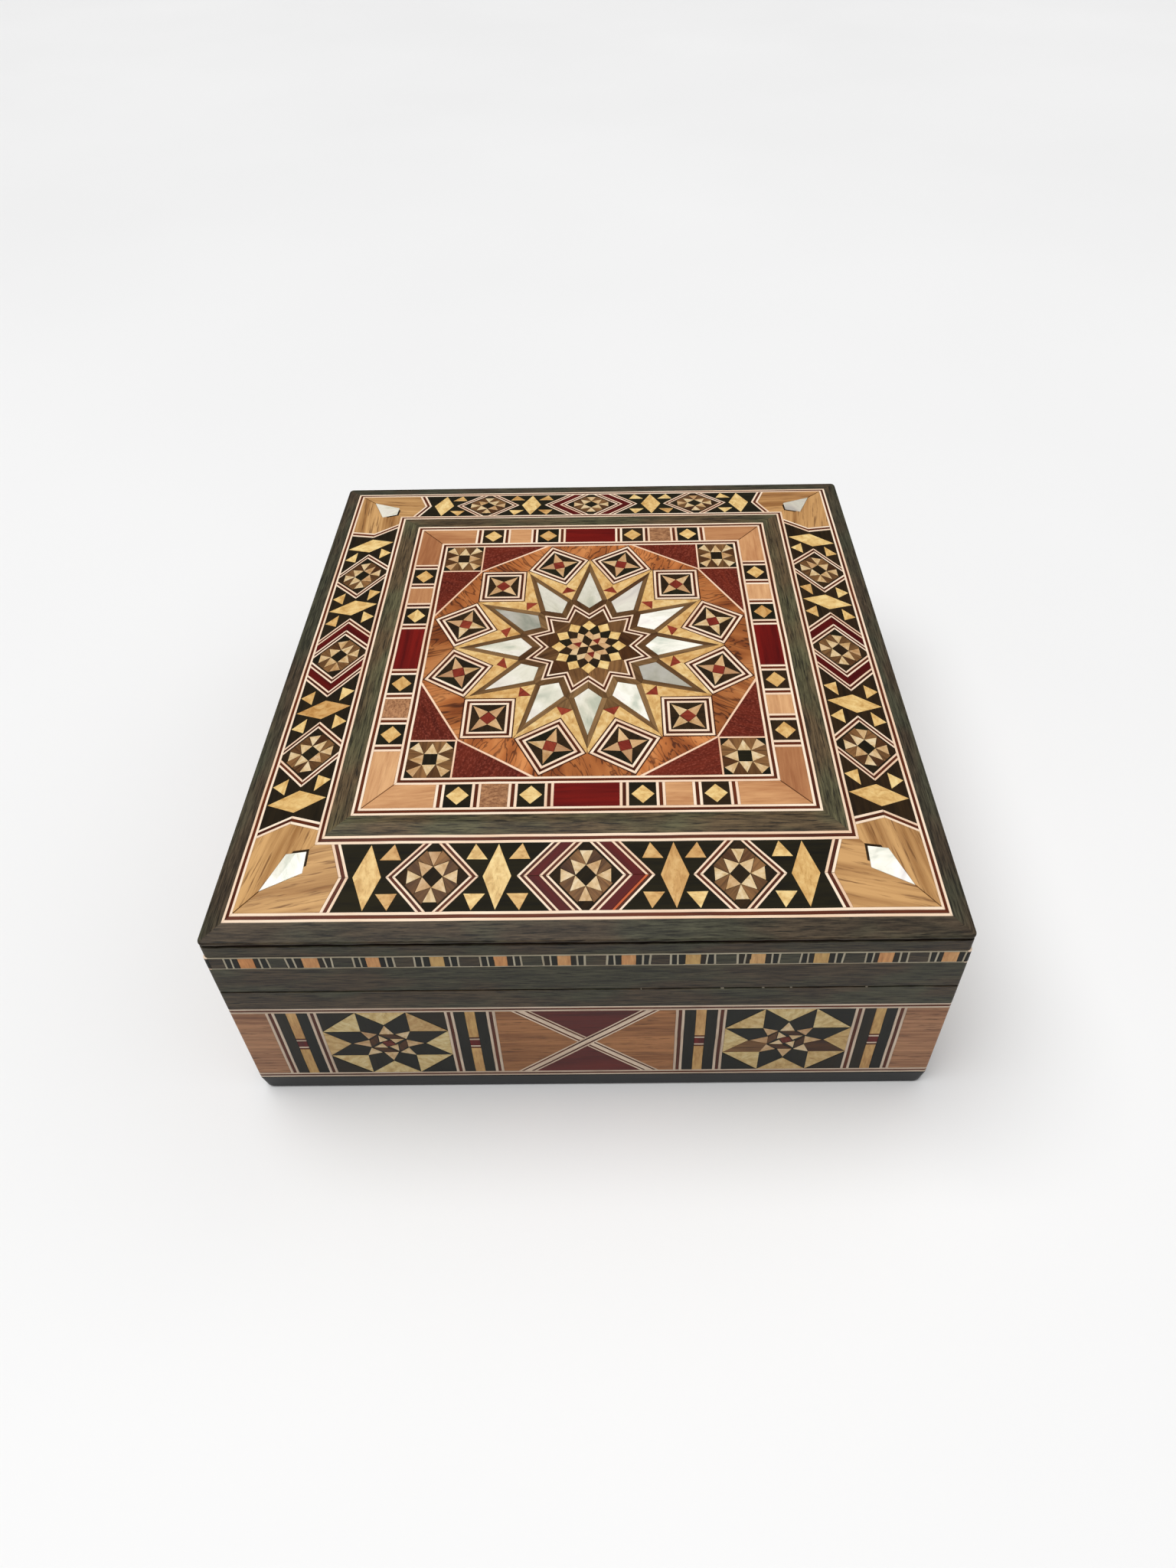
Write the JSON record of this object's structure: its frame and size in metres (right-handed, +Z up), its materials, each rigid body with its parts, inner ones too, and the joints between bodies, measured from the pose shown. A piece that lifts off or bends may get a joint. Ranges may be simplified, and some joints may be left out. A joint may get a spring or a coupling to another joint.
{
  "type": "inlaid wooden box",
  "caption": "Square hinged wooden box with a sloped-edge lid, star marquetry and mother-of-pearl inlay, banded sides and a velvet-lined inside.",
  "frame": {"origin": "middle of the underside, where the box stands", "axes": "+Z up, the front of the box faces -Y, +X to the right seen from the front"},
  "size_m": [0.15, 0.15, 0.0652],
  "materials": {
    "walnut": "satin lacquer",
    "carcass_wood": "plain sanded",
    "line_wood": "satin lacquer",
    "light_wood": "satin lacquer",
    "olivewood": "satin lacquer",
    "wine_wood": "satin lacquer",
    "red_wood": "satin lacquer",
    "brown_wood": "satin lacquer",
    "black_wood": "satin lacquer",
    "bone": "polished bone or lemonwood",
    "pearl": "polished mother-of-pearl",
    "brass": "polished",
    "velvet": "short pile velvet",
    "felt": "matt felt"
  },
  "bodies": {
    "base": {"bottom_board": "carcass_wood", "base_front_wall": "carcass_wood", "base_back_wall": "carcass_wood", "base_side_walls": "carcass_wood", "base_front_rim": "walnut", "base_back_rim": "walnut", "base_side_rims": "walnut", "base_foot_strips": "walnut", "base_line_strips": "line_wood", "band_end_blocks": "brown_wood", "band_upright_lines": "line_wood", "band_black_bars": "black_wood", "band_yellow_bars": "bone", "band_red_studs": "red_wood", "band_star_tiles": "black_wood", "band_cross_lines": "line_wood", "band_cross_triangles": "wine_wood", "base_velvet_floor": "velvet", "base_velvet_walls": "velvet", "underside_felt": "felt", "left_hinge_base_leaf": "brass", "right_hinge_base_leaf": "brass", "hinge_pins": "brass", "base_hinge_screws": "brass"},
    "lid": {"left_hinge_lid_leaf": "brass", "right_hinge_lid_leaf": "brass", "lid_hinge_screws": "brass", "lid_board": "carcass_wood", "lid_front_rim": "walnut", "lid_back_rim": "walnut", "lid_side_rims": "walnut", "lid_upper_walls": "carcass_wood", "lid_edge_mouldings": "walnut", "lid_side_strips": "brown_wood", "lid_border_lines": "line_wood", "lid_panel_lines": "line_wood", "walnut_frame": "walnut", "border_rosette_tiles": "brown_wood", "border_tile_frames": "line_wood", "border_rhombs": "bone", "border_red_chevrons": "wine_wood", "border_black_ground": "black_wood", "corner_blocks": "light_wood", "corner_pearls": "pearl", "inner_red_blocks": "red_wood", "inner_wood_blocks": "light_wood", "inner_diamond_tiles": "black_wood", "inner_border_lines": "line_wood", "olivewood_field": "olivewood", "panel_wine_triangles": "wine_wood", "panel_thin_lines": "line_wood", "panel_corner_rosettes": "brown_wood", "panel_diamond_tiles": "black_wood", "pearl_kites": "pearl", "kite_surrounds": "brown_wood", "bone_wedges": "bone", "red_darts": "red_wood", "zigzag_line": "line_wood", "core_rosette": "brown_wood", "lid_velvet_lining": "velvet"}
  },
  "joints": [
    {"name": "lid_hinge", "type": "hinge", "parent": "base", "child": "lid", "pos_m": [0, 0.0728, 0.0423], "axis": [-1, 0, 0], "range_deg": [0, 98]}
  ]
}
